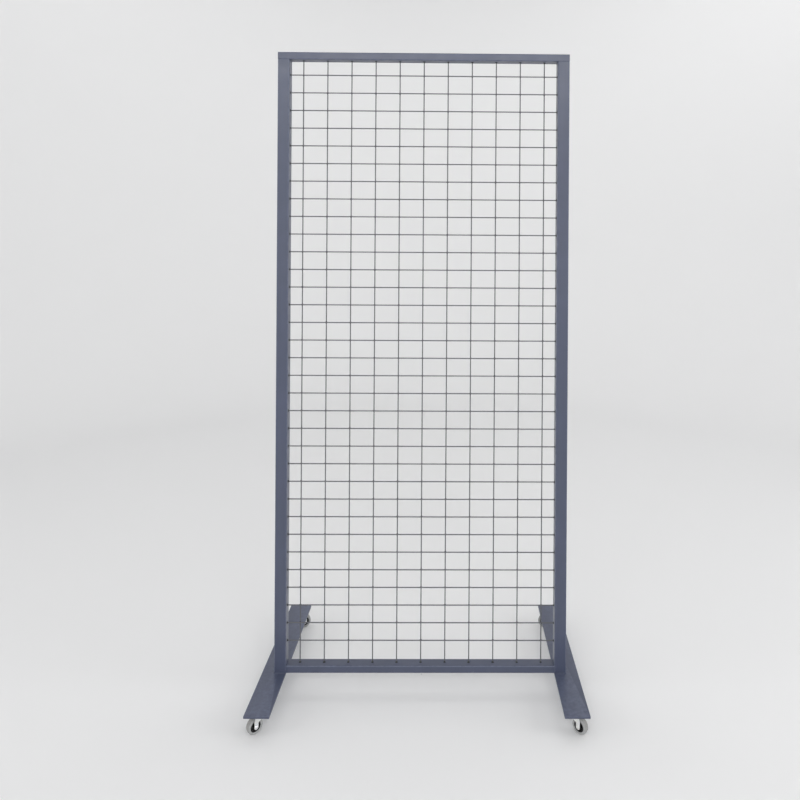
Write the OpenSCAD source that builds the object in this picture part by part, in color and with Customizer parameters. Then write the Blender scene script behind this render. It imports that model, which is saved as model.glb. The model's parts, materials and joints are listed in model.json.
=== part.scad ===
// Rolling mesh display stand: a welded tube frame filled with wire mesh,
// on two flat base legs with four swivel casters. Millimetres, +Z up.
// The origin is on the floor, midway between the legs and midway along them.
// The front of the stand faces -Y.

/* [Frame] */
// Width over the two uprights
frame_w = 800; // [600:1:1000]
// Height of the frame above the legs
frame_h = 1700; // [1200:1:2000]
// Width of an upright, seen from the front
upright_w = 32; // [25:1:40]
// Height of a rail, seen from the front
rail_h = 20; // [16:1:30]
// Depth of every tube, front to back
tube_d = 32; // [25:1:40]
// Wall thickness of the tubes
tube_wall = 1.5; // [1:0.1:2]

/* [Mesh] */
// Diameter of the wires
wire_d = 3; // [2.5:0.1:5]
// Spacing of the upright wires
upright_pitch = 66.5; // [30:0.5:100]
// Spacing of the cross wires
cross_pitch = 48.7; // [30:0.1:100]
// Gap from the top rail down to the highest cross wire
top_gap = 40; // [20:1:60]
// How deep the wires sink into each other where they are welded
weld_sink = 0.3; // [0.1:0.1:0.5]

/* [Base] */
// Length of a leg, front to back
leg_len = 500; // [450:1:700]
// Width of a leg
leg_w = 65; // [55:1:80]
// Thickness of a leg
leg_t = 5; // [5:1:8]
// How far the legs reach in front of the frame
leg_front = 165; // [100:1:200]
// Distance from the end of a leg to the swivel axis of its caster
caster_inset = 35; // [25:1:60]
rear_inset = 25; // [23:1:60]

/* [Casters] */
// Diameter of a caster's wheel
wheel_d = 40; // [38:1:50]
// Width of the tyre
tyre_w = 15; // [14:1:16]
// Diameter of the wheel's plastic hub
hub_d = 27; // [25:1:29]
// Distance from the swivel axis back to the axle
trail = 15; // [14:1:18]
// Side of the square top plate
plate_side = 42; // [40:1:50]
// Distance between the stud holes of the top plate
hole_pitch = 30; // [30:1:32]

/* [Hidden] */
$fn = 48;

// Heights of the caster's layers above the floor, from the wheel up
wheel_r = wheel_d / 2;
crown_gap = 4;
crown_z = wheel_d + crown_gap;
crown_t = 2;
race_h = 5;
plate_z = crown_z + crown_t + race_h;
plate_t = 2;
leg_z = plate_z + plate_t;
leg_top = leg_z + leg_t;

// Frame
tube_r = 2.5;
bore_r = 1;
upright_h = frame_h - rail_h;
frame_top = leg_top + frame_h;
frame_y = leg_front - leg_len / 2 + tube_d / 2;
upright_x = frame_w / 2 - upright_w / 2;
inner_w = frame_w - 2 * upright_w;
cap_t = 2;
plug_len = 12;
plug_gap = 0.1;

// Mesh: cross wires in front, upright wires behind, with at least half a
// pitch left between the outermost wires and the tubes beside and below them
layer = (wire_d - weld_sink) / 2;
mesh_low = leg_top + rail_h;
mesh_high = frame_top - rail_h;
upright_wires = floor(inner_w / upright_pitch);
cross_room = mesh_high - mesh_low - top_gap - cross_pitch / 2;
cross_wires = floor(cross_room / cross_pitch) + 1;

// Legs: their inner edges line up with the inner faces of the uprights
leg_x = inner_w / 2 + leg_w / 2;
leg_corner_r = 1.5;

// Caster
skirt_r = 15;
skirt_wall = 1;
skirt_gap = 1;
ball_r = 2.25;
ball_ring_r = 11;
ball_count = 14;
pin_r = 4;
pin_head_r = 7.5;
pin_head_t = 2.2;
pin_gap = 0.3;
run_gap = 0.05;
seat_gap = 0.02;
arm_gap = 20;
arm_t = 2;
arm_end_r = 5.5;
crown_front = -12;
bend_r = 3;
axle_r = 3;
bush_r = 4.5;
boss_r = 6.5;
rim_w = 14;
rim_wall = 2.5;
web_w = 6;
shoulder_r = 2.5;
head_r = 4.5;
head_t = 2.2;
nut_af = 10;
nut_t = 5;
tail = 1.5;

// Weld studs under the legs, and the nuts that hold the plates on them
stud_r = 2.5;
stud_hole_r = 2.75;
stud_nut_af = 8;
stud_nut_t = 3.2;
stud_tail = 0.5;

// Where each caster sits, which way it trails, and which side its bolt head is on
FRONT_LEFT = [-leg_x, caster_inset - leg_len / 2, -137, 1];
FRONT_RIGHT = [leg_x, caster_inset - leg_len / 2, -43, -1];
REAR_LEFT = [-leg_x, leg_len / 2 - rear_inset, 25, -1];
REAR_RIGHT = [leg_x, leg_len / 2 - rear_inset, 155, 1];
CASTERS = [FRONT_LEFT, FRONT_RIGHT, REAR_LEFT, REAR_RIGHT];

SLATE = [0.34, 0.37, 0.45];
WIRE_GREY = [0.25, 0.26, 0.28];
ZINC = [0.85, 0.86, 0.88];
TYRE_GREY = [0.62, 0.62, 0.62];
HUB_BLACK = [0.05, 0.05, 0.05];

// ---- outlines ----

// A rectangle with round corners of radius r
module rounded_rect(w, d, r) {
    square([w - 2 * r, d], center = true);
    square([w, d - 2 * r], center = true);
    for (x = [-1, 1], y = [-1, 1])
        translate([x * (w / 2 - r), y * (d / 2 - r)]) circle(r = r);
}

// The wall of a rectangular tube
module tube_section(w, d) {
    difference() {
        rounded_rect(w, d, tube_r);
        rounded_rect(w - 2 * tube_wall, d - 2 * tube_wall, bore_r);
    }
}

// Carries an outline along X: its x becomes Y, its y becomes Z
module along_x(length) {
    rotate([90, 0, 90]) linear_extrude(height = length, center = true) children();
}

// ---- frame ----

module upright(side) {
    color(SLATE)
        translate([side * upright_x, frame_y, leg_top])
            linear_extrude(height = upright_h) tube_section(upright_w, tube_d);
}

module left_upright() { upright(-1); }
module right_upright() { upright(1); }

// Lies across the tops of the uprights
module top_rail() {
    color(SLATE)
        translate([0, frame_y, frame_top - rail_h / 2])
            along_x(frame_w - 2 * cap_t) tube_section(tube_d, rail_h);
}

// Fits between the uprights, level with their lower ends
module bottom_rail() {
    color(SLATE)
        translate([0, frame_y, leg_top + rail_h / 2])
            along_x(inner_w) tube_section(tube_d, rail_h);
}

// Plug that closes one end of the top rail
module rail_cap(side) {
    inner_d = tube_d - 2 * tube_wall - 2 * plug_gap;
    inner_h = rail_h - 2 * tube_wall - 2 * plug_gap;
    color(SLATE)
        translate([0, frame_y, frame_top - rail_h / 2]) {
            translate([side * (frame_w / 2 - cap_t / 2), 0, 0])
                along_x(cap_t) rounded_rect(tube_d, rail_h, tube_r);
            translate([side * (frame_w / 2 - cap_t - plug_len / 2), 0, 0])
                along_x(plug_len) rounded_rect(inner_d, inner_h, bore_r);
        }
}

module left_rail_cap() { rail_cap(-1); }
module right_rail_cap() { rail_cap(1); }

// ---- mesh ----

module upright_mesh_wires() {
    first_x = -(upright_wires - 1) / 2 * upright_pitch;
    color(WIRE_GREY)
        for (i = [0 : upright_wires - 1])
            translate([first_x + i * upright_pitch, frame_y + layer, mesh_low])
                cylinder(d = wire_d, h = mesh_high - mesh_low);
}

module cross_mesh_wires() {
    color(WIRE_GREY)
        for (i = [0 : cross_wires - 1])
            translate([-inner_w / 2, frame_y - layer, mesh_high - top_gap - i * cross_pitch])
                rotate([0, 90, 0]) cylinder(d = wire_d, h = inner_w);
}

// ---- base ----

// Places something at the four studs round a caster's swivel axis
module at_studs() {
    for (x = [-1, 1], y = [-1, 1])
        translate([x * hole_pitch / 2, y * hole_pitch / 2, 0]) children();
}

// Flat bar, plain on top
module leg(side) {
    color(SLATE)
        translate([side * leg_x, 0, leg_z])
            linear_extrude(height = leg_t) rounded_rect(leg_w, leg_len, leg_corner_r);
}

module left_leg() { leg(-1); }
module right_leg() { leg(1); }

// Threaded studs welded to the undersides of the legs, four to a caster
module caster_studs() {
    color(ZINC)
        for (c = CASTERS)
            translate([c[0], c[1], plate_z - stud_nut_t - stud_tail])
                at_studs() cylinder(r = stud_r, h = stud_tail + stud_nut_t + plate_t);
}

// Thin hexagon nuts under the caster plates
module caster_nuts() {
    color(ZINC)
        for (c = CASTERS)
            translate([c[0], c[1], plate_z - stud_nut_t])
                at_studs()
                    difference() {
                        cylinder(r = stud_nut_af / 2 / cos(30), h = stud_nut_t, $fn = 6);
                        translate([0, 0, -1])
                            cylinder(r = stud_r + seat_gap, h = stud_nut_t + 2);
                    }
}

// ---- caster, fixed pieces ----

// Pressed square plate with a round dust skirt over the balls
module caster_plate(c) {
    color(ZINC)
        translate([c[0], c[1], 0])
            difference() {
                union() {
                    translate([0, 0, plate_z])
                        linear_extrude(height = plate_t) rounded_rect(plate_side, plate_side, 5);
                    translate([0, 0, crown_z + crown_t + skirt_gap])
                        cylinder(r = skirt_r, h = race_h - skirt_gap);
                }
                translate([0, 0, crown_z])
                    cylinder(r = skirt_r - skirt_wall, h = crown_t + race_h);
                translate([0, 0, crown_z])
                    cylinder(r = pin_r + seat_gap, h = crown_t + race_h + plate_t + 1);
                translate([0, 0, plate_z - 1])
                    at_studs() cylinder(r = stud_hole_r, h = plate_t + 2);
            }
}

// Ring of bearing balls between the plate and the fork
module caster_balls(c) {
    color(ZINC)
        translate([c[0], c[1], plate_z - ball_r - run_gap])
            for (i = [0 : ball_count - 1])
                rotate([0, 0, i * 360 / ball_count])
                    translate([ball_ring_r, 0, 0]) sphere(r = ball_r);
}

// Rivet that the fork turns on
module caster_kingpin(c) {
    color(ZINC)
        translate([c[0], c[1], crown_z - pin_gap]) {
            cylinder(r = pin_r, h = pin_gap + crown_t + race_h + plate_t);
            translate([0, 0, -pin_head_t]) cylinder(r = pin_head_r, h = pin_head_t);
        }
}

// ---- caster, swivelling pieces ----

// Turns a piece to the way its caster trails, about the swivel axis
module on_swivel(c) {
    translate([c[0], c[1], 0]) rotate([0, 0, c[2]]) children();
}

// Carries a piece made round Z at the origin to the axle, its +Z towards the bolt head
module on_axle(c) {
    on_swivel(c)
        translate([trail, 0, wheel_r]) rotate([-90 * c[3], 0, 0]) children();
}

// Side view of a fork arm: upright behind the axle, sloping in to the crown in front
module arm_outline() {
    top = crown_z + crown_t - bend_r;
    knee = wheel_r + 12;
    union() {
        translate([trail, wheel_r]) circle(r = arm_end_r);
        polygon([
            [trail - arm_end_r, wheel_r], [trail + arm_end_r, wheel_r],
            [trail + arm_end_r, knee], [trail + arm_end_r - 3, top],
            [crown_front, top], [crown_front, top - 3], [trail - arm_end_r, knee]
        ]);
    }
}

// Quarter bend between the crown and an arm, as a section across the fork
module bend_section() {
    intersection() {
        difference() {
            circle(r = bend_r);
            circle(r = bend_r - arm_t);
        }
        square(bend_r);
    }
}

// Pressed steel fork: a crown with two arms bent down from it
module caster_fork(c) {
    outer = arm_gap / 2 + arm_t;
    flat = outer - bend_r;
    crown_len = trail + arm_end_r - 3 - crown_front;
    color(ZINC)
        on_swivel(c)
            difference() {
                union() {
                    translate([crown_front, -flat, crown_z])
                        cube([crown_len, 2 * flat, crown_t]);
                    for (side = [-1, 1]) {
                        translate([crown_front + crown_len / 2, side * flat, crown_z + crown_t - bend_r])
                            rotate([0, 0, side < 0 ? 180 : 0])
                                along_x(crown_len) bend_section();
                        translate([0, side * (outer - arm_t / 2) + arm_t / 2, 0])
                            rotate([90, 0, 0])
                                linear_extrude(height = arm_t) arm_outline();
                    }
                }
                translate([0, 0, crown_z - 1])
                    cylinder(r = pin_r + run_gap, h = crown_t + 2);
                translate([trail, 0, wheel_r]) rotate([90, 0, 0])
                    cylinder(r = axle_r + run_gap, h = 2 * outer + 2, center = true);
            }
}

// Bolt through the fork, with a low round head
module caster_axle_bolt(c) {
    outer = arm_gap / 2 + arm_t;
    color(ZINC)
        on_axle(c) {
            translate([0, 0, -outer - nut_t - tail])
                cylinder(r = axle_r, h = 2 * outer + nut_t + tail);
            translate([0, 0, outer]) cylinder(r = head_r, h = head_t);
        }
}

// Hexagon nut on the far side of the fork
module caster_axle_nut(c) {
    outer = arm_gap / 2 + arm_t;
    color(ZINC)
        on_axle(c)
            translate([0, 0, -outer - nut_t])
                difference() {
                    cylinder(r = nut_af / 2 / cos(30), h = nut_t, $fn = 6);
                    translate([0, 0, -1]) cylinder(r = axle_r + seat_gap, h = nut_t + 2);
                }
}

// Steel sleeve clamped between the arms, which the wheel turns on
module caster_bush(c) {
    color(ZINC)
        on_axle(c)
            difference() {
                cylinder(r = bush_r, h = arm_gap, center = true);
                cylinder(r = axle_r + run_gap, h = arm_gap + 2, center = true);
            }
}

// ---- caster, wheel ----

// Plastic hub: a boss and a rim joined by a web
module caster_hub(c) {
    hub_r = hub_d / 2 - seat_gap;
    color(HUB_BLACK)
        on_axle(c)
            difference() {
                union() {
                    cylinder(r = boss_r, h = arm_gap - 1, center = true);
                    cylinder(r = hub_r, h = web_w, center = true);
                    difference() {
                        cylinder(r = hub_r, h = rim_w, center = true);
                        cylinder(r = hub_r - rim_wall, h = rim_w + 2, center = true);
                    }
                }
                cylinder(r = bush_r + run_gap, h = arm_gap + 2, center = true);
            }
}

// Soft grey tyre with rounded shoulders
module caster_tyre(c) {
    color(TYRE_GREY)
        on_axle(c)
            rotate_extrude()
                difference() {
                    union() {
                        translate([0, -tyre_w / 2])
                            square([wheel_r - shoulder_r, tyre_w]);
                        translate([0, -tyre_w / 2 + shoulder_r])
                            square([wheel_r, tyre_w - 2 * shoulder_r]);
                        for (side = [-1, 1])
                            translate([wheel_r - shoulder_r, side * (tyre_w / 2 - shoulder_r)])
                                circle(r = shoulder_r);
                    }
                    translate([-1, -tyre_w / 2 - 1]) square([hub_d / 2 + 1, tyre_w + 2]);
                }
}

// ---- nodes ----

left_upright();
right_upright();
top_rail();
bottom_rail();
left_rail_cap();
right_rail_cap();
upright_mesh_wires();
cross_mesh_wires();
left_leg();
right_leg();
caster_studs();
caster_nuts();
caster_plate(FRONT_LEFT);  // front_left_plate
caster_balls(FRONT_LEFT);  // front_left_balls
caster_kingpin(FRONT_LEFT);  // front_left_kingpin
caster_fork(FRONT_LEFT);  // front_left_fork
caster_axle_bolt(FRONT_LEFT);  // front_left_axle_bolt
caster_axle_nut(FRONT_LEFT);  // front_left_axle_nut
caster_bush(FRONT_LEFT);  // front_left_bush
caster_hub(FRONT_LEFT);  // front_left_hub
caster_tyre(FRONT_LEFT);  // front_left_tyre
caster_plate(FRONT_RIGHT);  // front_right_plate
caster_balls(FRONT_RIGHT);  // front_right_balls
caster_kingpin(FRONT_RIGHT);  // front_right_kingpin
caster_fork(FRONT_RIGHT);  // front_right_fork
caster_axle_bolt(FRONT_RIGHT);  // front_right_axle_bolt
caster_axle_nut(FRONT_RIGHT);  // front_right_axle_nut
caster_bush(FRONT_RIGHT);  // front_right_bush
caster_hub(FRONT_RIGHT);  // front_right_hub
caster_tyre(FRONT_RIGHT);  // front_right_tyre
caster_plate(REAR_LEFT);  // rear_left_plate
caster_balls(REAR_LEFT);  // rear_left_balls
caster_kingpin(REAR_LEFT);  // rear_left_kingpin
caster_fork(REAR_LEFT);  // rear_left_fork
caster_axle_bolt(REAR_LEFT);  // rear_left_axle_bolt
caster_axle_nut(REAR_LEFT);  // rear_left_axle_nut
caster_bush(REAR_LEFT);  // rear_left_bush
caster_hub(REAR_LEFT);  // rear_left_hub
caster_tyre(REAR_LEFT);  // rear_left_tyre
caster_plate(REAR_RIGHT);  // rear_right_plate
caster_balls(REAR_RIGHT);  // rear_right_balls
caster_kingpin(REAR_RIGHT);  // rear_right_kingpin
caster_fork(REAR_RIGHT);  // rear_right_fork
caster_axle_bolt(REAR_RIGHT);  // rear_right_axle_bolt
caster_axle_nut(REAR_RIGHT);  // rear_right_axle_nut
caster_bush(REAR_RIGHT);  // rear_right_bush
caster_hub(REAR_RIGHT);  // rear_right_hub
caster_tyre(REAR_RIGHT);  // rear_right_tyre
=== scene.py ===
import json
from collections import namedtuple

import bpy
import numpy as np
from mathutils import Matrix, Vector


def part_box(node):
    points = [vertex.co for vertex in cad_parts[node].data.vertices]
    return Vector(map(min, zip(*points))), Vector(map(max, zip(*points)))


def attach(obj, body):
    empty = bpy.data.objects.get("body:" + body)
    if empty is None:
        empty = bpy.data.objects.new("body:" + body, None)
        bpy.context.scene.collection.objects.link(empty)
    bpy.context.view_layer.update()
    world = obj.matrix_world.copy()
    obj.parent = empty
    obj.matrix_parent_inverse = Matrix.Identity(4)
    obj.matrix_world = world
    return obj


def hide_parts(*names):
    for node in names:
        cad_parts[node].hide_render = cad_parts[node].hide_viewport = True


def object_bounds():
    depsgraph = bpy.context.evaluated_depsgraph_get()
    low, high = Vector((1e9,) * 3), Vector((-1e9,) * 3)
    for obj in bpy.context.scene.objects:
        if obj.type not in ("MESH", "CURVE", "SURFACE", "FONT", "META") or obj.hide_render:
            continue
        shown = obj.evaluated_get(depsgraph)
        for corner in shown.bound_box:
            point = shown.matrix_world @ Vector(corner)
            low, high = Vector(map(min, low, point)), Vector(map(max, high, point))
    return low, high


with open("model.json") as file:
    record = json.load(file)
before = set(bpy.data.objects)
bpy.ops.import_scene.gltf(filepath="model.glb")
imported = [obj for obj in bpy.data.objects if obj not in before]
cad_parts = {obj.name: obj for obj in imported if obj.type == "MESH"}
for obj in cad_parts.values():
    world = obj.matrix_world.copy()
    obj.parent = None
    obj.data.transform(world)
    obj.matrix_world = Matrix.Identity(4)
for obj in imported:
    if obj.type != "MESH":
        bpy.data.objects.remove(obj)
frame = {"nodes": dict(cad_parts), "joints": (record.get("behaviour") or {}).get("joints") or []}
cad_low, cad_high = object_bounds()

MM = 0.001
DEG = np.pi / 180
CORNERS = ["front_left", "front_right", "rear_left", "rear_right"]


# ---- places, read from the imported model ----

def box_of(node):
    """Lowest and highest corners of a CAD node, as arrays."""
    low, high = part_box(node)
    return np.array(low), np.array(high)


def rows_of(node, axis, gap=10 * MM):
    """Where a node's repeated solids stand along one axis: its points are sorted, cut where the step
    to the next is wider than the gap, and each run gives the middle between its ends."""
    mesh = frame["nodes"][node].data
    points = np.zeros(len(mesh.vertices) * 3)
    mesh.vertices.foreach_get("co", points)
    along = np.sort(points.reshape(-1, 3)[:, axis])
    cuts = np.flatnonzero(np.diff(along) > gap)
    starts = along[np.concatenate([[0], cuts + 1])]
    ends = along[np.concatenate([cuts, [len(along) - 1]])]
    return (starts + ends) / 2


def joint_place(name):
    """The point that a joint turns about."""
    joint = next(j for j in frame["joints"] if j["name"] == name)
    return np.array(joint["pos_m"])


# ---- surfaces ----

Shell = namedtuple("Shell", "grid closed bend")


def shell(grid, closed=False, bend=None):
    """A surface made of rings, with how sharply it bends at each point: 0 on a flat, 1 along an edge.
    A closed one joins its last ring to its first. An open one gets a flat face at either end."""
    around = grid.shape[:2]
    return Shell(grid, closed, np.zeros(around) if bend is None else np.broadcast_to(bend, around))


def ring_faces(rings, around, closed):
    """Four-sided faces between rings: each joins a point to the next one round its ring, and both to
    the same two on the next ring. They face outwards where the rings run anticlockwise."""
    row = np.arange(rings if closed else rings - 1)[:, None]
    column = np.arange(around)[None, :]
    above = (row + 1) % rings
    beside = (column + 1) % around
    loops = [row * around + column, row * around + beside, above * around + beside, above * around + column]
    return np.stack(loops, axis=-1).reshape(-1, 4)


def piece(name, shells, material, body, replaced=(), sharp=38):
    """Makes one mesh of several shells. Its normals follow the larger faces, so flats stay flat beside
    their round edges. It rides on a body and stands for the CAD nodes that it replaces."""
    corners, sizes, start = [], [], 0
    for part in shells:
        rings, around = part.grid.shape[:2]
        quads = ring_faces(rings, around, part.closed) + start
        corners.append(quads.ravel())
        sizes.append(np.full(len(quads), 4))
        if not part.closed:
            first = start + np.arange(around)
            corners += [first[::-1], first + (rings - 1) * around]
            sizes.append(np.full(2, around))
        start += rings * around
    corners, sizes = np.concatenate(corners), np.concatenate(sizes)
    mesh = bpy.data.meshes.new(name)
    mesh.vertices.add(start)
    mesh.vertices.foreach_set("co", np.concatenate([s.grid.reshape(-1, 3) for s in shells]).ravel())
    mesh.loops.add(len(corners))
    mesh.loops.foreach_set("vertex_index", corners.astype(np.int32))
    mesh.polygons.add(len(sizes))
    mesh.polygons.foreach_set("loop_start", (np.cumsum(sizes) - sizes).astype(np.int32))
    mesh.polygons.foreach_set("use_smooth", np.ones(len(sizes), bool))
    mesh.update(calc_edges=True)
    mesh.validate()
    mesh.set_sharp_from_angle(angle=sharp * DEG)
    edge = mesh.attributes.new("edge", "FLOAT", "POINT")
    edge.data.foreach_set("value", np.concatenate([s.bend.ravel() for s in shells]).astype(np.float32))
    mesh.materials.append(material)
    made = bpy.data.objects.new(name, mesh)
    bpy.context.scene.collection.objects.link(made)
    normals = made.modifiers.new("flat_faces", "WEIGHTED_NORMAL")
    normals.keep_sharp = True
    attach(made, body)
    if replaced:
        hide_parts(*replaced)
    return made


def rounded_outline(width, depth, radius, steps=6):
    """Points round a rectangle with round corners, anticlockwise, and their bend. A corner's points are
    its centre plus the radius at an angle that runs over 90 degrees; the bend is the sine of twice it."""
    gone = np.linspace(0, 90, steps + 1) * DEG
    angle = np.arange(4)[:, None] * 90 * DEG + gone
    x = np.array([[1], [-1], [-1], [1]]) * (width / 2 - radius) + radius * np.cos(angle)
    y = np.array([[1], [1], [-1], [-1]]) * (depth / 2 - radius) + radius * np.sin(angle)
    return np.stack([x.ravel(), y.ravel()], axis=1), np.tile(np.sin(2 * gone), 4)


def stack(width, depth, radius, insets, heights, bends):
    """Rings of a rectangle with round corners: each is set in by its inset and lies at its height, and
    a point bends as much as its ring or its corner does, whichever is more."""
    outlines = [rounded_outline(width - 2 * i, depth - 2 * i, max(radius - i, 0.1 * MM)) for i in insets]
    grid = np.stack([np.insert(points, 2, height, axis=1)
                     for (points, _), height in zip(outlines, heights)])
    return grid, np.maximum(np.asarray(bends)[:, None], outlines[0][1])


def soft_rise(thickness, edge, steps=4):
    """Inset, height and bend of the rings up a side whose two edges are quarter circles: the inset is
    the edge radius less its sine, the height the same less its cosine."""
    turn = np.linspace(0, 90, steps + 1) * DEG
    inset, height, bend = edge * (1 - np.sin(turn)), edge * (1 - np.cos(turn)), np.sin(2 * turn)
    return (np.concatenate([inset, inset[::-1]]),
            np.concatenate([height, thickness - height[::-1]]),
            np.concatenate([bend, bend[::-1]]))


def slab(width, depth, radius, thickness, edge):
    """A plate with round corners and softened edges, standing on its own XY plane."""
    return stack(width, depth, radius, *soft_rise(thickness, edge))


def tube(width, depth, radius, length, wall, edge):
    """The wall of a rectangular tube along Z: up the outside, over the end, down the bore and back. The
    bore's rings are the outside's, set in by the wall less their own inset."""
    inset, height, bend = soft_rise(length, edge)
    return stack(width, depth, radius,
                 np.concatenate([inset, wall - inset[::-1]]),
                 np.concatenate([height, height[::-1]]),
                 np.concatenate([bend, bend[::-1]]))


def filleted(rows, steps=5):
    """An outline through corners given as (x, y, fillet) in millimetres, with an arc in each corner. The
    arc's centre lies on the corner's bisector, the fillet over the sine of half the angle away."""
    rows = np.array(rows, float) * MM
    corner, radius = rows[:, :2], rows[:, 2:]
    back = np.roll(corner, 1, axis=0) - corner
    on = np.roll(corner, -1, axis=0) - corner
    back /= np.linalg.norm(back, axis=1, keepdims=True)
    on /= np.linalg.norm(on, axis=1, keepdims=True)
    half = np.arccos(np.clip((back * on).sum(axis=1, keepdims=True), -1, 1)) / 2
    middle = back + on
    middle /= np.linalg.norm(middle, axis=1, keepdims=True)
    centre = corner + middle * radius / np.sin(half)
    first = corner + back * radius / np.tan(half) - centre
    last = corner + on * radius / np.tan(half) - centre
    sweep = np.pi - 2 * half
    share = np.linspace(0, 1, steps)[None, :, None]
    sweep, first, last = sweep[:, None], first[:, None], last[:, None]
    arc = (np.sin((1 - share) * sweep) * first + np.sin(share * sweep) * last) / np.sin(sweep)
    return (centre[:, None] + arc).reshape(-1, 2)


def lathe(profile, around=48):
    """Turns a profile of (radius, height) points round Z: x and y are the radius times the cosine and
    the sine of the angle."""
    angle = np.linspace(0, 360, around, endpoint=False) * DEG
    radius, height = profile[:, :1], profile[:, 1:]
    return np.stack([radius * np.cos(angle), radius * np.sin(angle), height + 0 * angle], axis=-1)


def axes_to(direction):
    """Three right-handed axes, the last along a direction: the first is at right angles to it and to
    the vertical, or to X where the direction is itself vertical."""
    last = np.array(direction, float) / np.linalg.norm(direction)
    upright = np.array([1.0, 0, 0]) if abs(last[2]) > 0.9 else np.array([0, 0, 1.0])
    first = np.cross(upright, last)
    first /= np.linalg.norm(first)
    return np.array([first, np.cross(last, first), last])


def place(grid, origin, axes=np.eye(3)):
    """Carries a grid into place: the origin plus its x, y and z along three axes."""
    return grid @ axes + origin


def evenly(points, step):
    """Points a step apart along a line through given points, by their distance along it."""
    points = np.array(points, float)
    gone = np.concatenate([[0], np.cumsum(np.linalg.norm(np.diff(points, axis=0), axis=1))])
    at = np.linspace(0, gone[-1], max(2, int(round(gone[-1] / step)) + 1))
    return np.stack([np.interp(at, gone, points[:, i]) for i in range(3)], axis=1), at


def bead(points, radius, up, ripple=2.4 * MM, around=10):
    """A run of weld along a line: rings across it whose radius swells by an eighth once every ripple and
    tapers in over the first and last ripple. Up is at right angles to the whole line."""
    path, at = evenly(points, ripple / 5)
    ends = np.minimum(1, np.minimum(at, at[-1] - at) / ripple + 0.35)
    size = radius * ends * (1 + 0.125 * (np.abs(np.sin(np.pi * at / ripple)) - 0.5))
    tangent = np.gradient(path, axis=0)
    tangent /= np.linalg.norm(tangent, axis=1, keepdims=True)
    up = np.array(up, float)
    side = np.cross(up, tangent)
    angle = np.linspace(0, 360, around, endpoint=False)[None, :, None] * DEG
    return path[:, None] + size[:, None, None] * (np.cos(angle) * side[:, None] + np.sin(angle) * up)


# ---- materials ----

def rgb(code, alpha=1.0):
    """A colour's linear numbers from its sRGB hex code."""
    part = np.array([int(code[i:i + 2], 16) for i in (1, 3, 5)]) / 255
    linear = np.where(part <= 0.04045, part / 12.92, ((part + 0.055) / 1.055) ** 2.4)
    return (*linear, alpha)


def per_metre(size_mm):
    """The scale of a noise whose features are a size in millimetres apart."""
    return 1 / (size_mm * MM)


def add(tree, kind, inputs=None, **settings):
    """Adds a node with its settings. An input takes a number, a colour or another node's output."""
    node = tree.nodes.new(kind)
    for name, value in settings.items():
        setattr(node, name, value)
    for name, value in (inputs or {}).items():
        if isinstance(value, bpy.types.NodeSocket):
            tree.links.new(value, node.inputs[name])
        else:
            node.inputs[name].default_value = value
    return node


def finish_named(name):
    """An empty node material: its tree, its output node and the point on the piece in metres."""
    material = bpy.data.materials.new(name)
    material.use_nodes = True
    tree = material.node_tree
    tree.nodes.clear()
    output = add(tree, "ShaderNodeOutputMaterial")
    point = add(tree, "ShaderNodeTexCoord").outputs["Object"]
    return material, tree, output, point


def noise(tree, point, size_mm, detail=3.0, roughness=0.5):
    """Noise with features of a size in millimetres, from 0 to 1."""
    made = add(tree, "ShaderNodeTexNoise",
               {"Vector": point, "Scale": per_metre(size_mm), "Detail": detail, "Roughness": roughness})
    return made.outputs["Fac"]


def ranged(tree, value, low, high, start=0.3, end=0.7):
    """Maps a value from start..end to low..high."""
    made = add(tree, "ShaderNodeMapRange",
               {"Value": value, "From Min": start, "From Max": end, "To Min": low, "To Max": high})
    return made.outputs["Result"]


def blended(tree, share, first, second):
    """A colour between two others."""
    made = add(tree, "ShaderNodeMix", {"Factor": share}, data_type="RGBA")
    for socket, colour in (("A", first), ("B", second)):
        where = next(s for s in made.inputs if s.name == socket and s.type == "RGBA")
        if isinstance(colour, bpy.types.NodeSocket):
            tree.links.new(colour, where)
        else:
            where.default_value = colour
    return next(s for s in made.outputs if s.type == "RGBA")


def bumped(tree, height, rise_mm, normal=None):
    """A normal bent by a height map whose 0 to 1 stands for a rise in millimetres."""
    inputs = {"Height": height, "Distance": rise_mm * MM, "Strength": 1.0}
    if normal is not None:
        inputs["Normal"] = normal
    return add(tree, "ShaderNodeBump", inputs).outputs["Normal"]


def powder_coat(name, main, shade, pale_edge_and_highlight_tint, roughness, peel_mm=3.0, peel_rise_mm=0.03):
    """Polyester powder coat, sprayed on steel and baked. It flows into a satin skin with orange peel, so
    highlights are soft and a little broken up. It runs thin over sharp edges, whose colour is painted
    paler, partly for that thin coat and partly as a painted edge highlight."""
    material, tree, output, point = finish_named(name)
    cloud = ranged(tree, noise(tree, point, 70, 4), 0, 1)
    # Paler rounded edges: partly the thin coat there, partly a painted edge highlight.
    thin_coat_and_highlight = add(tree, "ShaderNodeAttribute", attribute_name="edge").outputs["Fac"]
    broken = add(tree, "ShaderNodeMath", {0: thin_coat_and_highlight, 1: ranged(tree, noise(tree, point, 9, 4), 0.1, 0.75)},
                 operation="MULTIPLY").outputs[0]
    colour = blended(tree, broken, blended(tree, cloud, rgb(main), rgb(shade)), rgb(pale_edge_and_highlight_tint))
    dull = add(tree, "ShaderNodeMath",
               {0: ranged(tree, noise(tree, point, 25, 5), -0.05, 0.05), 1: roughness}, operation="ADD")
    # The peel of real powder coat is 1 to 2 mm across, drawn a little coarser so that it shows.
    peel = bumped(tree, noise(tree, point, peel_mm, 2), peel_rise_mm)
    grain = bumped(tree, noise(tree, point, 0.8, 1), peel_rise_mm / 8, peel)
    shader = add(tree, "ShaderNodeBsdfPrincipled",
                 {"Base Color": colour, "Roughness": dull.outputs[0], "IOR": 1.5, "Normal": grain})
    tree.links.new(shader.outputs[0], output.inputs[0])
    return material


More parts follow.
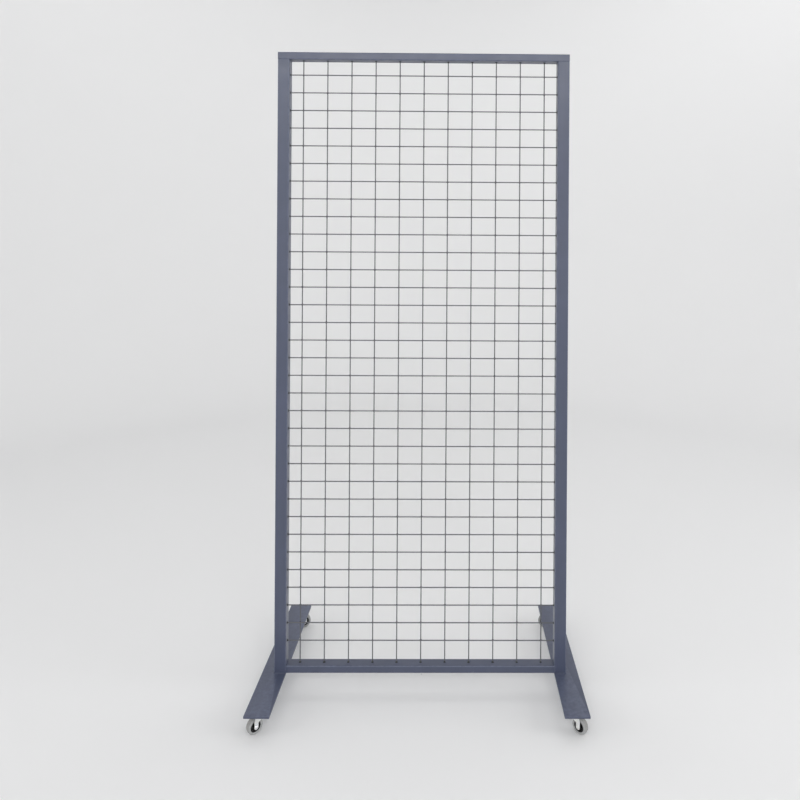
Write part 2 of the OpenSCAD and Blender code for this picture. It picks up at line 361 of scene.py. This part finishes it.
def bright_zinc():
    """Bright electroplated zinc on pressed steel, passivated clear. A silvery metal, slightly blue and
    yellow by turns where the film is thicker, with a fine rolled grain and cloudy handling marks."""
    material, tree, output, point = finish_named("bright_zinc_plate")
    film = ranged(tree, noise(tree, point, 12, 3), 0, 1)
    silver = blended(tree, film, rgb("#F6F8FB"), rgb("#F1F0EA"))
    colour = blended(tree, ranged(tree, noise(tree, point, 4, 5), 0, 0.25), silver, rgb("#D6D9DD"))
    dull = ranged(tree, noise(tree, point, 3, 5), 0.24, 0.42)
    skin = bumped(tree, noise(tree, point, 1.2, 3), 0.01)
    shader = add(tree, "ShaderNodeBsdfPrincipled",
                 {"Base Color": colour, "Metallic": 1.0, "Roughness": dull, "Normal": skin})
    tree.links.new(shader.outputs[0], output.inputs[0])
    return material


def bearing_steel():
    """Hardened chrome steel, ground and lapped: a dark mirror under a thin film of grease."""
    material, tree, output, point = finish_named("bearing_steel")
    smear = ranged(tree, noise(tree, point, 2, 3), 0.08, 0.22)
    colour = blended(tree, ranged(tree, noise(tree, point, 3, 2), 0, 1), rgb("#C4C5C8"), rgb("#A9A79E"))
    shader = add(tree, "ShaderNodeBsdfPrincipled",
                 {"Base Color": colour, "Metallic": 1.0, "Roughness": smear})
    tree.links.new(shader.outputs[0], output.inputs[0])
    return material


def black_polypropylene():
    """Injection-moulded polypropylene, self-coloured black: glossy, with faint flow marks and a skin
    that is slightly waxy where it shrank in the mould."""
    material, tree, output, point = finish_named("black_polypropylene")
    flow = noise(tree, point, 6, 3)
    colour = blended(tree, ranged(tree, flow, 0, 1), rgb("#08080A"), rgb("#121214"))
    dull = ranged(tree, noise(tree, point, 2, 4), 0.22, 0.36)
    skin = bumped(tree, noise(tree, point, 0.9, 2), 0.012)
    shader = add(tree, "ShaderNodeBsdfPrincipled",
                 {"Base Color": colour, "Roughness": dull, "IOR": 1.49, "Normal": skin})
    tree.links.new(shader.outputs[0], output.inputs[0])
    return material


def grey_tyre_rubber():
    """Grey thermoplastic rubber, moulded on the hub: matt, evenly coloured, with floor dust rubbed into
    the tread, which is darker than the sides."""
    material, tree, output, point = finish_named("grey_thermoplastic_rubber")
    tread = add(tree, "ShaderNodeAttribute", attribute_name="edge").outputs["Fac"]
    dust = add(tree, "ShaderNodeMath", {0: tread, 1: ranged(tree, noise(tree, point, 3, 5), 0.25, 1)},
               operation="MULTIPLY").outputs[0]
    body = blended(tree, ranged(tree, noise(tree, point, 8, 3), 0, 1), rgb("#A9AAAA"), rgb("#9FA0A0"))
    colour = blended(tree, dust, body, rgb("#8B8A87"))
    dull = ranged(tree, noise(tree, point, 1.5, 4), 0.5, 0.68)
    skin = bumped(tree, noise(tree, point, 0.7, 4), 0.03)
    shader = add(tree, "ShaderNodeBsdfPrincipled",
                 {"Base Color": colour, "Roughness": dull, "IOR": 1.5, "Normal": skin})
    tree.links.new(shader.outputs[0], output.inputs[0])
    return material


def studio_paper():
    """Seamless background paper: plain, matt and nearly white."""
    material, tree, output, _ = finish_named("seamless_paper")
    shader = add(tree, "ShaderNodeBsdfPrincipled",
                 {"Base Color": rgb("#F1F1F1"), "Roughness": 0.9, "Specular IOR Level": 0.1})
    tree.links.new(shader.outputs[0], output.inputs[0])
    return material


slate = powder_coat("slate_powder_coat", "#4B5166", "#474D60", "#6C7388", 0.33)
cap_slate = powder_coat("slate_moulded_plug", "#4B5165", "#484E60", "#5E6477", 0.45, 1.5, 0.015)
wire_coat = powder_coat("grey_wire_coat", "#606266", "#58595D", "#74767A", 0.45, 2.0, 0.02)
weld_coat = powder_coat("dark_weld_coat", "#2B2C30", "#252629", "#3A3B3F", 0.5, 2.0, 0.04)
zinc = bright_zinc()
steel = bearing_steel()
hub_black = black_polypropylene()
tyre_grey = grey_tyre_rubber()
paper = studio_paper()


# ---- frame ----

TUBE_WALL = 1.5 * MM
TUBE_CORNER = 2.5 * MM
TUBE_EDGE = 0.35 * MM

stand_low, stand_high = box_of("left_upright")
upright_w, tube_d = (stand_high - stand_low)[:2]
leg_top, upright_top = stand_low[2], stand_high[2]
frame_y = (stand_low[1] + stand_high[1]) / 2
rail_h = np.ptp(box_of("top_rail"), axis=0)[2]


def upright_tube(side):
    """A square tube standing on its leg, cut square at both ends."""
    low, high = box_of(side + "_upright")
    grid, bend = tube(upright_w, tube_d, TUBE_CORNER, high[2] - low[2], TUBE_WALL, TUBE_EDGE)
    middle = [(low[0] + high[0]) / 2, frame_y, low[2]]
    piece(side + "_upright_tube", [shell(place(grid, middle), True, bend)], slate,
          "stand", [side + "_upright"])


def rail_tube(name):
    """A rectangular tube lying between or across the uprights."""
    low, high = box_of(name)
    grid, bend = tube(tube_d, rail_h, TUBE_CORNER, high[0] - low[0], TUBE_WALL, TUBE_EDGE)
    start = [low[0], frame_y, (low[2] + high[2]) / 2]
    piece(name + "_tube", [shell(place(grid, start, axes_to([1, 0, 0])), True, bend)], slate,
          "stand", [name])


def rail_plug(side, way):
    """A moulded cap that closes an end of the top rail: a flange with a softened edge and a plug that
    fits in the bore."""
    low, high = box_of(side + "_rail_cap")
    flange_t, slack = 2 * MM, 0.1 * MM
    middle_z = (low[2] + high[2]) / 2
    along = axes_to([1, 0, 0])
    flange, flange_bend = slab(tube_d, rail_h, TUBE_CORNER, flange_t, 0.6 * MM)
    outer = low[0] if way < 0 else high[0] - flange_t
    depth = tube_d - 2 * TUBE_WALL - 2 * slack
    height = rail_h - 2 * TUBE_WALL - 2 * slack
    plug, plug_bend = slab(depth, height, 1 * MM, high[0] - low[0] - flange_t, 0.3 * MM)
    inner = low[0] + flange_t if way < 0 else low[0]
    piece(side + "_rail_plug",
          [shell(place(flange, [outer, frame_y, middle_z], along), bend=flange_bend),
           shell(place(plug, [inner, frame_y, middle_z], along), bend=plug_bend)],
          cap_slate, "stand", [side + "_rail_cap"])


def frame_welds():
    """The runs of weld that hold the frame together, coated with it: round each upright where it stands
    on its leg, in the four corners of the frame, and in the grooves beside the rails' ends."""
    runs = []
    front, back = frame_y - tube_d / 2, frame_y + tube_d / 2
    steps = 6
    outline, _ = rounded_outline(upright_w, tube_d, TUBE_CORNER, steps)
    three_sides = outline[steps:3 * (steps + 1) + 1]
    seat_r, corner_r, groove_r = 2.2 * MM, 1.8 * MM, 2.1 * MM
    for side in (-1, 1):
        inner = side * (abs(stand_low[0]) - upright_w)
        outer = side * abs(stand_low[0])
        middle = (inner + outer) / 2
        seat = np.stack([middle - side * three_sides[:, 0], frame_y + three_sides[:, 1],
                         np.full(len(three_sides), leg_top)], axis=1)
        runs.append(bead(seat, seat_r, [0, 0, 1]))
        for height in (leg_top + rail_h, upright_top):
            line = [[inner, front + 3 * MM, height], [inner, back - 3 * MM, height]]
            runs.append(bead(line, corner_r, [0, 0, 1]))
        for y, inset in ((front, 1), (back, -1)):
            # Ground nearly flush: the groove under the top rail, and the one at the bottom rail's end.
            deep = y + inset * (groove_r + 0.08 * MM)
            across = [[outer - side * 2 * MM, deep, upright_top],
                      [inner + side * 1 * MM, deep, upright_top]]
            up = [[inner, deep, leg_top + 1 * MM], [inner, deep, leg_top + rail_h - 1 * MM]]
            runs.append(bead(across, groove_r, [0, 0, 1]))
            runs.append(bead(up, groove_r, [0, 1, 0]))
    piece("frame_welds", [shell(grid) for grid in runs], slate, "stand", sharp=70)


for side, way in (("left", -1), ("right", 1)):
    upright_tube(side)
    rail_plug(side, way)
for name in ("top_rail", "bottom_rail"):
    rail_tube(name)
frame_welds()


# ---- mesh ----

upright_xs = rows_of("upright_mesh_wires", 0)
cross_zs = rows_of("cross_mesh_wires", 2)
upright_low, upright_high = box_of("upright_mesh_wires")
cross_low, cross_high = box_of("cross_mesh_wires")
wire_r = (upright_high[1] - upright_low[1]) / 2
upright_y = upright_low[1] + wire_r
cross_y = cross_low[1] + wire_r
joint_y = (upright_y + cross_y) / 2


def wires(name, starts, direction, length, replaced):
    """Straight round wires, each a circle carried along its length."""
    rod = lathe(np.array([[wire_r, 0], [wire_r, length]]), 16)
    axes = axes_to(direction)
    piece(name, [shell(place(rod, start, axes)) for start in starts], wire_coat,
          "stand", [replaced])


def crossing_welds():
    """The resistance weld at each crossing: metal squeezed out between the two wires, a flattened ball
    whose rings shrink with the cosine of their latitude."""
    chance = np.random.default_rng(11)
    latitude = np.linspace(-72, 72, 5) * DEG
    ball = lathe(np.stack([np.cos(latitude), np.sin(latitude)], axis=1), 10)
    centre_x, centre_z = (g.ravel() for g in np.meshgrid(upright_xs, cross_zs))
    size = chance.uniform(2.5, 3.1, len(centre_x)) * MM
    half_depth = 1.1 * MM
    axes = axes_to([0, 1, 0])
    grids = [place(ball * [r, r, half_depth], [x, joint_y, z], axes)
             for x, z, r in zip(centre_x, centre_z, size)]
    piece("crossing_welds", [shell(grid) for grid in grids], weld_coat, "stand", sharp=80)


def end_welds():
    """The weld round each wire's end, where it meets a tube: a collar that flares towards the tube with
    the square of the distance from its tip."""
    chance = np.random.default_rng(23)
    gone = np.linspace(0, 1, 5)
    ends = [([x, upright_y, z], [0, 0, way])
            for x in upright_xs for z, way in ((upright_low[2], 1), (upright_high[2], -1))]
    ends += [([x, cross_y, z], [way, 0, 0])
             for z in cross_zs for x, way in ((cross_low[0], 1), (cross_high[0], -1))]
    grids = []
    for start, direction in ends:
        reach, flare = chance.uniform(2.0, 3.2) * MM, chance.uniform(1.8, 3.0) * MM
        radius = wire_r * 1.02 + flare * (1 - gone) ** 2
        collar = lathe(np.stack([radius, gone * reach], axis=1), 12)
        grids.append(place(collar, start, axes_to(direction)))
    piece("wire_end_welds", [shell(grid) for grid in grids], weld_coat, "stand", sharp=80)


wires("upright_wires", [[x, upright_y, upright_low[2]] for x in upright_xs], [0, 0, 1],
      upright_high[2] - upright_low[2], "upright_mesh_wires")
wires("cross_wires", [[cross_low[0], cross_y, z] for z in cross_zs], [1, 0, 0],
      cross_high[0] - cross_low[0], "cross_mesh_wires")
crossing_welds()
end_welds()


# ---- base ----

LEG_CORNER = 2 * MM
LEG_EDGE = 0.9 * MM


def leg_bar(side):
    """Hot-rolled flat bar with softened edges and corners, lying front to back."""
    low, high = box_of(side + "_leg")
    width, length, thickness = high - low
    grid, bend = slab(width, length, LEG_CORNER, thickness, LEG_EDGE)
    middle = [(low[0] + high[0]) / 2, (low[1] + high[1]) / 2, low[2]]
    piece(side + "_leg_bar", [shell(place(grid, middle), bend=bend)], slate,
          "stand", [side + "_leg"])


for side in ("left", "right"):
    leg_bar(side)


# ---- fasteners ----

STUD_R = 2.5 * MM
STUD_PITCH = 0.8 * MM
STUD_NUT_FLATS = 8 * MM


def hexagon_nut(across_flats, thickness, bore):
    """A hexagon nut with chamfered corners: a ring's radius at each angle is the hexagon's or the
    chamfer cone's at that height, whichever is less, and the bore closes the loop."""
    angle = np.linspace(0, 360, 48, endpoint=False) * DEG
    flat = across_flats / 2
    hexagon = flat / np.cos((angle + np.pi / 6) % (np.pi / 3) - np.pi / 6)
    drop = np.linspace(0, (hexagon.max() - flat * 0.93) * np.tan(30 * DEG), 7)
    cone = flat * 0.93 + drop / np.tan(30 * DEG)
    height = np.concatenate([drop, thickness - drop[::-1]])
    limit = np.concatenate([cone, cone[::-1]])
    radius = np.minimum(hexagon, limit[:, None])
    inner = np.full((2, 48), bore)
    radius = np.concatenate([radius, inner])
    height = np.concatenate([height, [thickness, 0]])
    return np.stack([radius * np.cos(angle), radius * np.sin(angle),
                     np.broadcast_to(height[:, None], radius.shape)], axis=-1)


def threaded_end(radius, low, high, pitch, around=36):
    """The threaded tip of a bolt: the radius falls and rises as a triangle wave of the height plus the
    angle's share of a turn, so the groove climbs one pitch a turn, and it fades out at the tip."""
    rows = int(round((high - low) / pitch * 8)) + 1
    height = np.linspace(low, high, rows)[:, None]
    angle = np.linspace(0, 360, around, endpoint=False)[None, :] * DEG
    wave = np.abs(((height / pitch - angle / (2 * np.pi)) % 1) - 0.5) * 2
    fade = np.clip((height - low) / (0.4 * pitch), 0, 1)
    out = radius - pitch * (0.45 * wave * fade + 0.45 * (1 - fade))
    return np.stack([out * np.cos(angle), out * np.sin(angle), height + 0 * angle], axis=-1)


def stud_centres():
    """The sixteen places of the studs: every left-right place taken with every front-back one."""
    xs, ys = rows_of("caster_studs", 0), rows_of("caster_studs", 1)
    return np.stack(np.meshgrid(xs, ys), axis=-1).reshape(-1, 2)


def leg_fasteners():
    """Studs welded under the legs, and the thin nuts that hold the caster plates on them."""
    low, high = box_of("caster_studs")
    nut_low, nut_high = box_of("caster_nuts")
    tip = threaded_end(STUD_R, low[2], high[2], STUD_PITCH)
    nut = hexagon_nut(STUD_NUT_FLATS, nut_high[2] - nut_low[2], STUD_R)
    chance = np.random.default_rng(5)
    studs, nuts = [], []
    for x, y in stud_centres():
        turn = chance.uniform(0, 60) * DEG
        axes = np.array([[np.cos(turn), np.sin(turn), 0], [-np.sin(turn), np.cos(turn), 0], [0, 0, 1]])
        studs.append(shell(place(tip, [x, y, 0], axes)))
        nuts.append(shell(place(nut, [x, y, nut_low[2]], axes), True))
    piece("leg_studs", studs, zinc, "stand", ["caster_studs"])
    piece("leg_stud_nuts", nuts, zinc, "stand", ["caster_nuts"], sharp=20)


leg_fasteners()


# ---- casters ----

ARM_T = 2 * MM
ARM_END_R = 5.5 * MM
ARM_GAP = 20 * MM
BEND_R = 2 * MM
PLATE_T = 2 * MM
PLATE_CORNER = 5 * MM
AXLE_R = 3 * MM
AXLE_PITCH = 1 * MM
AXLE_TAIL = 1.5 * MM
AXLE_NUT_FLATS = 10 * MM
AXLE_NUT_T = 5 * MM


def eased(value, start, end):
    """Goes from 0 to 1 as the value goes from start to end, flat at both: three squares less two cubes."""
    share = np.clip((value - start) / (end - start), 0, 1)
    return share * share * (3 - 2 * share)


def top_plate(corner, x, y):
    """Pressed square plate, with a round skirt drawn down from it over the ball race."""
    low, high = box_of(corner + "_plate")
    plate, bend = slab(high[0] - low[0], high[1] - low[1], PLATE_CORNER, PLATE_T, 0.5 * MM)
    rim = filleted([(15, 0, 0.45), (15, 3, 0.9), (16.5, 4.4, 0.1), (14, 4.4, 0.1), (14, 0, 0.45)])
    skirt = lathe(rim, 64)
    piece(corner + "_top_plate",
          [shell(place(plate, [x, y, high[2] - PLATE_T]), bend=bend),
           shell(place(skirt, [x, y, low[2]]), True)],
          zinc, "stand", [corner + "_plate"])


def king_rivet(corner, x, y):
    """Rivet with a low domed head under the fork and its shank up to the leg."""
    low, high = box_of(corner + "_kingpin")
    tall = (high[2] - low[2]) / MM
    profile = filleted([(0.3, 0, 0.02), (4.5, 0.1, 6), (7.1, 1.1, 1.2), (7.5, 2.1, 0.15), (4, 2.2, 0.05),
                        (4, tall, 0.1), (0.3, tall, 0.02)])
    piece(corner + "_king_rivet", [shell(place(lathe(profile), [x, y, low[2]]))], zinc,
          "stand", [corner + "_kingpin"])


def fork_strip(trail, axle_z, crown_mid):
    """Pressed fork as one strip of steel carried along a U: up one arm, round a bend, over the crown and
    down the other arm. Across the strip it runs from a front edge to a back edge, which are half circles
    at the arms' ends and sweep forward to the crown, and its edges are rounded and curled in a little."""
    arm_y = ARM_GAP / 2 + ARM_T / 2
    bend_z = crown_mid - BEND_R
    tip = np.linspace(-86, 0, 12) * DEG
    tip_z = axle_z + ARM_END_R * np.sin(tip)
    rise_z = np.linspace(axle_z, bend_z, 26)[1:]
    bend = np.linspace(0, 90, 7)[1:] * DEG
    flat_y = np.linspace(-(arm_y - BEND_R), 0, 6)[1:]
    y = np.concatenate([np.full(len(tip_z) + len(rise_z), -arm_y),
                        -(arm_y - BEND_R) - BEND_R * np.cos(bend), flat_y])
    z = np.concatenate([tip_z, rise_z, bend_z + BEND_R * np.sin(bend), np.full(len(flat_y), crown_mid)])
    turn = np.concatenate([np.zeros(len(tip_z) + len(rise_z)), bend, np.full(len(flat_y), np.pi / 2)])
    tip_half = ARM_END_R * np.concatenate([np.cos(tip), np.ones(len(y) - len(tip))])
    sweep = eased(z, axle_z + 9 * MM, bend_z - 1 * MM)
    front = trail - tip_half - sweep * (trail - ARM_END_R + 10.5 * MM)
    front = front - 1.5 * MM * eased(-np.abs(y), -arm_y, 0)
    back = trail + tip_half - 3 * MM * eased(z, axle_z + 12 * MM, bend_z)
    curl = 0.45 * MM * eased(z, axle_z + 8 * MM, axle_z + 15 * MM) * (1 - eased(z, bend_z - 5 * MM, bend_z))
    # The other half is this one in a mirror, walked backwards.
    y = np.concatenate([y, -y[-2::-1]])
    turn = np.concatenate([turn, np.pi - turn[-2::-1]])
    z, front, back, curl = (np.concatenate([v, v[-2::-1]]) for v in (z, front, back, curl))
    sections = [rounded_outline(w, ARM_T, 0.42 * MM, 4) for w in back - front]
    across = np.stack([points for points, _ in sections])
    wide = across[..., 0] / ((back - front)[:, None] / 2)
    depth = across[..., 1] + curl[:, None] * wide ** 4
    middle = (front + back) / 2
    grid = np.stack([middle[:, None] + across[..., 0],
                     y[:, None] + depth * np.cos(turn)[:, None],
                     z[:, None] - depth * np.sin(turn)[:, None]], axis=-1)
    return grid, np.broadcast_to(sections[0][1], grid.shape[:2])


def axle_screw(low):
    """Axle bolt: threaded tail down to a height, plain shank and a low round head."""
    outer = (ARM_GAP / 2 + ARM_T) / MM
    profile = filleted([(2.2, -outer - 1, 0.02), (3, -outer + 0.5, 0.1), (3, outer, 0.05),
                        (4.4, outer, 0.1), (4.5, outer + 0.8, 0.5), (3.1, outer + 2, 2),
                        (0.3, outer + 2.2, 0.02)])
    tail = threaded_end(AXLE_R, low, (-outer + 1) * MM, AXLE_PITCH)
    return [shell(lathe(profile)), shell(tail)]


def wheel_hub():
    """Moulded hub: boss, web and rim, with rounded edges and a shallow ring in the web's face."""
    side = [(4.55, -9.5, 0.2), (6.5, -9.5, 0.6), (6.9, -3.4, 1.1), (10.5, -3, 1), (11.1, -7, 0.5),
            (13.48, -7, 0.25)]
    return lathe(filleted(side + [(r, -z, f) for r, z, f in side[::-1]]), 72)


def wheel_tyre(radius):
    """Tyre: flat seat on the rim, sides with a moulded step, round shoulders and a slightly crowned
    tread. It bends most on the tread, which is where it gets dusty."""
    out = radius / MM
    side = [(13.5, -7.4, 0.2), (14.3, -7.5, 0.3), (16.6, -7.5, 0.2), (16.9, -6.9, 0.15),
            (17.4, -6.9, 0.2), (17.8, -7.25, 0.4), (out - 0.5, -6.1, 2.2), (out - 0.02, -1.5, 4)]
    profile = filleted(side + [(r, -z, f) for r, z, f in side[::-1]])
    dusty = eased(profile[:, 0], (out - 1.6) * MM, (out - 0.2) * MM)
    return lathe(profile, 96), dusty[:, None] * np.ones(96)


def caster(corner):
    """A swivel caster: its plate and rivet stay with the stand, its fork and axle turn with the swivel,
    and its hub and tyre roll. It points the way its axle lies from its swivel axis."""
    pivot = joint_place(corner + "_swivel_turn")
    axle = joint_place(corner + "_wheel_roll")
    x, y = pivot[:2]
    top_plate(corner, x, y)
    king_rivet(corner, x, y)
    ahead = axle[:2] - pivot[:2]
    trail = np.linalg.norm(ahead)
    ahead = np.append(ahead / trail, 0)
    fork_axes = np.array([ahead, np.cross([0, 0, 1], ahead), [0, 0, 1]])
    crown_mid = box_of(corner + "_fork")[1][2] - ARM_T / 2
    fork, bend = fork_strip(trail, axle[2], crown_mid)
    swivel = corner + "_swivel"
    piece(corner + "_fork_pressing", [shell(place(fork, [x, y, 0], fork_axes), bend=bend)], zinc,
          swivel, [corner + "_fork"])
    nut_middle = sum(box_of(corner + "_axle_nut")) / 2
    head_way = (axle - nut_middle) * [1, 1, 0]
    axle_axes = axes_to(head_way)
    outer = ARM_GAP / 2 + ARM_T
    screw = axle_screw(-outer - AXLE_NUT_T - AXLE_TAIL)
    piece(corner + "_axle_screw",
          [part._replace(grid=place(part.grid, axle, axle_axes)) for part in screw],
          zinc, swivel, [corner + "_axle_bolt"])
    nut = hexagon_nut(AXLE_NUT_FLATS, AXLE_NUT_T, AXLE_R)
    nut = place(nut, axle - axle_axes[2] * (outer + AXLE_NUT_T), axle_axes)
    piece(corner + "_axle_hex_nut", [shell(nut, True)], zinc, swivel,
          [corner + "_axle_nut"], sharp=20)
    wheel = corner + "_wheel"
    piece(corner + "_wheel_hub", [shell(place(wheel_hub(), axle, axle_axes), True)], hub_black,
          wheel, [corner + "_hub"])
    tyre, dusty = wheel_tyre(axle[2])
    piece(corner + "_wheel_tyre", [shell(place(tyre, axle, axle_axes), True, dusty)], tyre_grey,
          wheel, [corner + "_tyre"], sharp=50)
    for node, material in (("_balls", steel), ("_bush", steel)):
        carried = frame["nodes"][corner + node]
        carried.data.materials.clear()
        carried.data.materials.append(material)


for corner in CORNERS:
    caster(corner)


# ---- studio ----

def sweep_stage():
    """Floor that curves up all round into a wall, seamless from every side: a profile of floor, quarter
    circle and wall turned round the object."""
    floor_r, curve_r, wall_top = 3.0, 1.4, 6.5
    floor_z = cad_low[2] - 0.2 * MM
    turn = np.linspace(-90, 0, 17) * DEG
    radius = np.concatenate([[1 * MM, floor_r / 2], floor_r + curve_r * np.cos(turn), [floor_r + curve_r]])
    height = np.concatenate([[0, 0], curve_r + curve_r * np.sin(turn), [wall_top]]) + floor_z
    grid = lathe(np.stack([radius, height], axis=1)[::-1], 128)
    mesh = bpy.data.meshes.new("studio_sweep")
    mesh.from_pydata(grid.reshape(-1, 3), [], ring_faces(*grid.shape[:2], False).tolist())
    mesh.polygons.foreach_set("use_smooth", np.ones(len(mesh.polygons), bool))
    mesh.materials.append(paper)
    stage = bpy.data.objects.new("studio_sweep", mesh)
    bpy.context.scene.collection.objects.link(stage)


def softbox(name, place_at, aim_at, width, height, power, colour="#FFFFFF"):
    """A rectangular soft light that faces a point."""
    light = bpy.data.lights.new(name, "AREA")
    light.shape = "RECTANGLE"
    light.size, light.size_y, light.energy = width, height, power
    light.color = rgb(colour)[:3]
    holder = bpy.data.objects.new(name, light)
    place_at = np.array(place_at, float)
    axes = axes_to(place_at - np.array(aim_at, float))
    holder.matrix_world = Matrix([[*axes[:, i], place_at[i]] for i in range(3)] + [[0, 0, 0, 1]])
    holder.visible_camera = False
    bpy.context.scene.collection.objects.link(holder)


sweep_stage()
softbox("ceiling_softbox", [0, 0.4, 4.6], [0, 0.1, 0], 5.0, 4.0, 38)
softbox("front_softbox", [0, -3.2, 2.65], [0, 0, 1.6], 3.4, 0.9, 42)
softbox("low_front_fill", [0, -4.0, 0.9], [0, 0, 0.7], 5.5, 1.5, 38)
softbox("left_fill", [-3.4, -1.2, 1.4], [0, 0, 0.8], 1.6, 2.6, 19)
softbox("right_fill", [3.4, -1.0, 1.4], [0, 0, 0.8], 1.6, 2.6, 32)
softbox("left_wall_wash", [-2.0, 1.6, 4.4], [-1.6, 4.4, 1.2], 1.8, 0.8, 12)
softbox("right_wall_wash", [2.0, 1.6, 4.4], [2.2, 4.4, 1.2], 1.8, 0.8, 19)

world = bpy.data.worlds.new("studio_air")
world.use_nodes = True
world.node_tree.nodes["Background"].inputs["Color"].default_value = rgb("#F4F6FA")
world.node_tree.nodes["Background"].inputs["Strength"].default_value = 0.2
bpy.context.scene.world = world
bpy.context.scene.view_settings.view_transform = "Standard"


# ---- camera ----

EYE_X = 0.0735
EYE_BEFORE_FRAME = 1.8
EYE_ABOVE_LEGS = 1.188
TURNED_RIGHT = 0.5
TILTED_SIDEWAYS = 0.36
FOCAL_LENGTH_MM = 29.55
SHIFTED_SIDEWAYS = -0.0694
SHIFTED_DOWN = -0.2

lens = bpy.data.cameras.new("camera")
lens.sensor_width = 36
lens.lens = FOCAL_LENGTH_MM
lens.shift_x = SHIFTED_SIDEWAYS
lens.shift_y = SHIFTED_DOWN
camera = bpy.data.objects.new("camera", lens)
camera.location = [EYE_X, stand_low[1] - EYE_BEFORE_FRAME, leg_top + EYE_ABOVE_LEGS]
camera.rotation_euler = [90 * DEG, -TILTED_SIDEWAYS * DEG, -TURNED_RIGHT * DEG]
bpy.context.scene.collection.objects.link(camera)
bpy.context.scene.camera = camera
